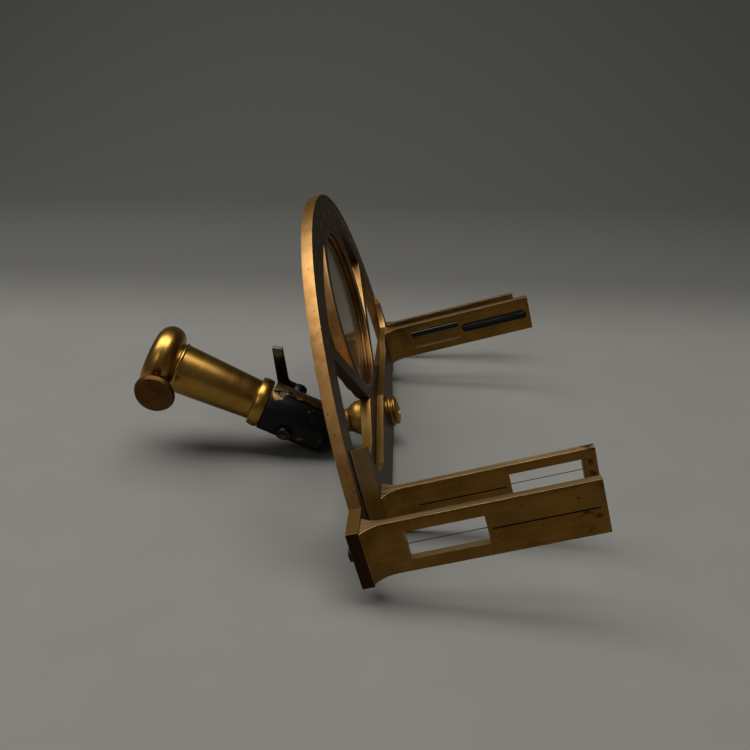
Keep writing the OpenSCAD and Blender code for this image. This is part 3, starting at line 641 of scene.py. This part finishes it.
# %% Nut and dome
NUT_X = 4.1
nut = ([(3.05, 0.0), (7.0, 0.0)] + arc(6.7, 0.95, 0.9, -80, 80) + [(6.3, 1.95), (6.3, 2.5)]
       + arc(6.35, 3.15, 0.7, -75, 80, 8) + [(5.9, 4.2), (4.4, 4.6), (3.05, 4.6)])
turned_piece("moulded_pivot_nut", nut, PLATE @ Matrix.Translation((NUT_X, 0, 0)) @ ALONG_X, 0.15,
             lathe_brass, "frame", "aged_brass", "pivot_nut")
dome = ([(0.0, 0.0), (9.0, 0.0), (9.0, 2.0), (8.3, 2.4), (8.3, 3.4)] + arc(0.0, 3.0, 8.5, 8, 48, 12)[1:]
        + arc(5.3, 9.9, 0.55, -60, 70, 6) + arc(4.9, 11.3, 0.65, -70, 80, 8)
        + [(4.3, 12.1), (4.0, 12.6), (4.0, 29.0), (1.55, 29.0), (1.55, 20.8), (0, 20.8)])
on_back = JOINT @ Matrix.Translation((PLATE_BACK, 0, 0)) @ ALONG_X.inverted()
turned_piece("moulded_joint_dome", dome, on_back, 0.15, lathe_brass, "frame", "aged_brass",
             "joint_flange", closed=False)

# %% [markdown]
# The collar is a wide flat bead. The sleeve widens slightly towards its open end, where a small step
# and a hollow lead to a round moulding, so that the end can be held and won't dent. The bore goes in
# from that end and takes the staff. The thumb screw that grips the staff has a dimpled flat head.

# %% Collar, sleeve and staff screw
bead = [(6.05, 28.0), (10.9, 28.0)] + arc(5.4, 30.9, 6.6, -25, 25) + [(10.9, 33.8), (6.05, 33.8)]
turned_piece("collar_bead", bead, SLEEVE, 0.35, turned_brass, "head", "aged_brass", "sleeve_collar")
sleeve = ([(0.0, 37.2), (6.05, 37.2), (6.05, 33.8), (9.75, 33.8), (11.65, 71.0), (12.2, 71.5),
           (12.2, 72.2), (11.3, 72.8), (11.2, 73.5)] + arc(10.9, 79.7, 6.3, -80, 72, 24)
          + [(12.4, 85.7), (8.6, 85.7), (8.0, 85.1), (8.0, 39.7), (0.0, 39.7)])
turned_piece("moulded_staff_sleeve", sleeve, SLEEVE, 0.2, turned_brass, "head", "aged_brass",
             "staff_sleeve", closed=False)
knob = ([(0.0, 8.3), (3.0, 8.3), (3.0, 22.6), (4.2, 23.7), (8.4, 23.7)] + arc(8.5, 25.1, 0.6, -60, 40, 6)
        + [(8.3, 26.7), (7.6, 26.9), (2.6, 26.9), (1.8, 26.6), (0.9, 26.35), (0.0, 26.3)])
turned_piece("dimpled_staff_screw", knob, KNOB @ ALONG_X, 0.15, knob_brass, "staff_screw", "aged_brass",
             "staff_screw", closed=False)

# %% [markdown]
# The compass sits in a shallow turned box let into the plate. Its flange is screwed to the back, and a
# thin ring holds the glass down. Both are square in section, so their profiles are plain corners, and
# the bevel of the lathe takes the sharpness off.

# %% Compass box and glass ring
box = [(1.25, -8.6), (37.6, -8.6), (37.6, -5.7), (42.2, -5.7), (42.2, -4.5), (37.6, -4.5), (37.6, -0.2),
       (36.2, -0.2), (36.2, -4.4), (34.8, -4.4), (34.8, -7.4), (1.25, -7.4)]
turned_piece("turned_compass_box", box, COMPASS @ ALONG_X, 0.25, knob_brass, "frame", "aged_brass",
             "compass_box")
ring = [(34.8, -3.4), (36.1, -3.4), (36.1, -1.8), (35.4, -1.8), (34.8, -2.5)]
turned_piece("turned_glass_ring", ring, COMPASS @ ALONG_X, 0.15, knob_brass, "frame", "aged_brass",
             "glass_ring")

# %% [markdown]
# ## Engraved divisions
# The limb is divided into degrees, and the wings carry a vernier that splits a degree further. On the real
# plate each line was cut with a graver: on the dark-looking limb the cuts show as bright metal, and on the
# golden wings they are rubbed full of black wax. Here a line is a thin bar let into the surface, 0.03 mm
# proud so that it never flickers against the brass. A line is one small block, and all the lines of a
# scale are one mesh.

# %% Lines and figures
PROUD = 0.03

# Text lies in x and y and faces z; this turns it to lie on the plate, upright along the radius
UPRIGHT = Matrix(((0, 0, 1, 0), (1, 0, 0, 0), (0, 1, 0, 0), (0, 0, 0, 1)))
ON_SPOKE = Matrix.Rotation(radians(-90), 4, "X") @ UPRIGHT


def add_line(bm, place, length, width=0.18):
    """One engraved line along y, centred on its place."""
    shape = Matrix.Diagonal((2 * PROUD, length, width, 1.0))
    bmesh.ops.create_cube(bm, size=1.0, matrix=place @ shape)


def add_figure(bm, words, size, place):
    """A number as a thin mesh, drawn in the x and y of its place."""
    curve = bpy.data.curves.new("figure", "FONT")
    curve.body = words
    curve.size = size
    curve.align_x = "CENTER"
    curve.align_y = "CENTER"
    curve.extrude = PROUD
    curve.resolution_u = 3
    holder = bpy.data.objects.new("figure", curve)
    flat = bpy.data.meshes.new_from_object(holder)
    flat.transform(place)
    bm.from_mesh(flat)
    bpy.data.meshes.remove(flat)
    bpy.data.objects.remove(holder)
    bpy.data.curves.remove(curve)


print("lines and figures ready")

# %% [markdown]
# The limb's scale runs round just outside the alidade's reach. Every degree has a line, every fifth a
# longer one, and every tenth the longest, with its figure inside it. Each line is placed on a spoke: a
# turn about the pivot and a step out along it.

# %% The limb's scale
SCALE_R, FIGURE_R, FIGURE_H = 102.4, 99.4, 3.0
bm = bmesh.new()
for degree in range(2, 179):
    length = 3.4 if degree % 10 == 0 else 2.6 if degree % 5 == 0 else 1.7
    spoke = PLATE @ Matrix.Rotation(radians(degree), 4, "X")
    add_line(bm, spoke @ Matrix.Translation((0, SCALE_R + length / 2, 0)), length)
for degree in range(10, 180, 10):
    spoke = PLATE @ Matrix.Rotation(radians(degree), 4, "X") @ Matrix.Translation((0, FIGURE_R, 0))
    add_figure(bm, str(degree), FIGURE_H, spoke @ ON_SPOKE)
carry(add_object("limb_divisions", bm, cut_brass), "frame", "aged_brass")

# %% [markdown]
# A vernier's lines lie on the bevelled end of a wing, which slopes down to the limb so that both
# scales meet at one height and can be read without parallax. So each line is tilted by the slope and
# raised to where the bevel is at its middle.

# %% The verniers
WING_R, WING_EDGE, PAD_X, EDGE_GAP = 102.0, 0.9, 3.5, 0.4
BEVELS = ((1, 95.5, 12), (-1, 84.97, 19))
bm = bmesh.new()
for side, inner, degrees in BEVELS:
    steepness = (PAD_X - WING_EDGE) / (WING_R - inner)
    for degree in range(degrees + 1):
        length = 3.0 if degree % 5 == 0 else 2.0
        reach = WING_R - EDGE_GAP - length / 2
        rise = WING_EDGE + (WING_R - reach) * steepness
        spoke = ALIDADE @ Matrix.Rotation(radians(degree if side > 0 else 180 - degree), 4, "X")
        line = spoke @ Matrix.Translation((rise, reach, 0)) @ Matrix.Rotation(atan(steepness), 4, "Z")
        add_line(bm, line, length)
carry(add_object("vernier_divisions", bm, wax), "alidade", "black_iron")

# %% [markdown]
# ## The compass card
# Under the glass lies a silvered card with a ring of degrees, figures every thirty and an eight-pointed
# star, each point split into a dark and a pale half, which makes it look raised. The star starts as a
# circle of sixteen triangles, every second corner of which is pulled in.

# %% Card
CARD_X, CARD_R, CARD_FIGURE_R, CARD_FIGURE_H, CARD_LINE = -6.8, 33.6, 29.0, 2.8, 0.15
bm = bmesh.new()
for step in range(180):
    length = 2.4 if step % 15 == 0 else 1.8 if step % 5 == 0 else 1.1
    spoke = COMPASS @ Matrix.Rotation(radians(2 * step), 4, "X")
    add_line(bm, spoke @ Matrix.Translation((CARD_X, CARD_R - length / 2, 0)), length, CARD_LINE)
for degree in range(0, 360, 30):
    spoke = COMPASS @ Matrix.Rotation(radians(degree), 4, "X")
    spoke = spoke @ Matrix.Translation((CARD_X, CARD_FIGURE_R, 0))
    add_figure(bm, str(degree), CARD_FIGURE_H, spoke @ ON_SPOKE)
carry(add_object("compass_degrees", bm, wax), "frame", "black_iron")

# %% Star
STAR_R, SHORT_POINT, NOTCH = 20.0, 0.68, 0.27
bm = bmesh.new()
tips = bmesh.ops.create_circle(bm, cap_ends=True, cap_tris=True, segments=16, radius=STAR_R)["verts"]
for number, corner in enumerate(v for v in tips if v.co.length > 1.0):
    corner.co *= 1.0 if number % 4 == 0 else SHORT_POINT if number % 4 == 2 else NOTCH
for number, face in enumerate(bm.faces):
    face.material_index = number % 2
top = bmesh.ops.extrude_face_region(bm, geom=bm.faces[:])["geom"]
bmesh.ops.translate(bm, verts=only(bmesh.types.BMVert, top), vec=(0, 0, PROUD))
bmesh.ops.recalc_face_normals(bm, faces=bm.faces)
bmesh.ops.transform(bm, matrix=COMPASS @ Matrix.Translation((CARD_X, 0, 0)) @ UPRIGHT, verts=bm.verts)
carry(add_object("compass_star", bm, wax, silvered), "frame", "silvered_brass")

# %% [markdown]
# The needle is a thin diamond of steel with a low ridge, blued on its north half so that the ends can
# be told apart. A cone of four sides is a pyramid, and squeezed flat and stretched it is that diamond.
# One cut across each edge gives a line between the two halves.

# %% Needle
NEEDLE_L, NEEDLE_W, NEEDLE_T, NEEDLE_X, NEEDLE_TURN, RIDGE = 29.0, 2.4, 0.5, -6.0, radians(26), 0.12
bm = bmesh.new()
bmesh.ops.create_cone(bm, cap_ends=True, segments=4, radius1=1.0, radius2=RIDGE, depth=1.0)
bmesh.ops.subdivide_edges(bm, edges=bm.edges[:], cuts=1)
bmesh.ops.scale(bm, vec=(NEEDLE_W, NEEDLE_L, NEEDLE_T), verts=bm.verts)
bmesh.ops.translate(bm, vec=(0, 0, NEEDLE_T / 2), verts=bm.verts)
for face in bm.faces:
    face.material_index = 0 if face.calc_center_median().y > 0 else 1
on_pivot = COMPASS @ Matrix.Translation((NEEDLE_X, 0, 0)) @ Matrix.Rotation(NEEDLE_TURN, 4, "X") @ UPRIGHT
bmesh.ops.transform(bm, matrix=on_pivot @ Matrix.Rotation(radians(90), 4, "Z"), verts=bm.verts)
carry(add_object("blued_needle", bm, blued_steel, steel), "needle", "steel", "compass_needle")

# %% [markdown]
# ## Screw heads
# A screw from the back of each ear holds a fixed sight, and three small ones hold the compass flange.
# A head is a circle cut by four planes into a slot and the rest, extruded to its height, with the
# slot's face pushed back in and the rim rounded.

# %% Slotted heads
SLOT_REACH, SLOT_DEPTH, HEAD_ROUND = 0.93, 0.45, 0.12


def slotted_screw(bm, radius, tall, slot, shank, place):
    """One screw: a slotted cheese head on z = 0 of its place, and a shank (radius, length) below."""
    head = bmesh.new()
    bmesh.ops.create_circle(head, cap_ends=True, segments=32, radius=radius)
    across, along = Vector((1, 0, 0)), Vector((0, 1, 0))
    for normal, at in ((across, slot / 2), (across, -slot / 2),
                       (along, radius * SLOT_REACH), (along, -radius * SLOT_REACH)):
        bmesh.ops.bisect_plane(head, geom=head.verts[:] + head.edges[:] + head.faces[:],
                               plane_co=normal * at, plane_no=normal)
    top = bmesh.ops.extrude_face_region(head, geom=head.faces[:])["geom"]
    bmesh.ops.translate(head, verts=only(bmesh.types.BMVert, top), vec=(0, 0, tall))
    bmesh.ops.recalc_face_normals(head, faces=head.faces)
    middle = [f for f in head.faces if f.normal.z > 0.9 and f.calc_center_median().length < tall + 0.05]
    pocket = bmesh.ops.extrude_discrete_faces(head, faces=middle)["faces"]
    bmesh.ops.translate(head, verts=[v for f in pocket for v in f.verts], vec=(0, 0, -tall * SLOT_DEPTH))
    rim = [e for e in head.edges if e.is_manifold and all(abs(v.co.z - tall) < 1e-6 for v in e.verts)
           and e.calc_face_angle(0.0) > radians(60)]
    bmesh.ops.bevel(head, geom=rim, offset=tall * HEAD_ROUND, offset_type="OFFSET", affect="EDGES",
                    segments=2, profile=0.5, material=-1)
    thick, deep = shank
    bmesh.ops.create_cone(head, cap_ends=True, segments=16, radius1=thick, radius2=thick, depth=deep,
                          matrix=Matrix.Translation((0, 0, -deep / 2)))
    bmesh.ops.transform(head, matrix=place, verts=head.verts)
    made = bpy.data.meshes.new("head")
    head.to_mesh(made)
    head.free()
    bm.from_mesh(made)
    bpy.data.meshes.remove(made)


print("slotted heads ready")

# %% [markdown]
# No two slots of a hand-made instrument point the same way, so each head is turned a little
# differently when it is set in its place.

# %% Screws on the ears and the flange
EAR_Y, FLANGE_X, FLANGE_R = 117.58, -5.7, 40.0
FACING_BACK = Matrix.Rotation(radians(-90), 4, "Y")
bm = bmesh.new()
for y, turn in ((-EAR_Y, 35), (EAR_Y, -20)):
    place = PLATE @ Matrix.Translation((PLATE_BACK, y, 0)) @ FACING_BACK
    slotted_screw(bm, 2.5, 1.9, 0.7, (1.3, 8.1), place @ Matrix.Rotation(radians(turn), 4, "Z"))
carry(add_object("ear_screw_heads", bm, iron), "frame", "black_iron", "fixed_vane_screws")
bm = bmesh.new()
for turn in (90, 210, 330):
    spoke = COMPASS @ Matrix.Rotation(radians(turn), 4, "X")
    place = spoke @ Matrix.Translation((FLANGE_X, FLANGE_R, 0)) @ FACING_BACK
    slotted_screw(bm, 1.5, 1.2, 0.4, (0.9, 4.6), place @ Matrix.Rotation(radians(turn), 4, "Z"))
carry(add_object("flange_screw_heads", bm, steel), "frame", "black_iron", "compass_screws")

# %% [markdown]
# ## The last update
# The last line updates the view layer, so that every piece stands where it was placed.

# %% Update
bpy.context.view_layer.update()
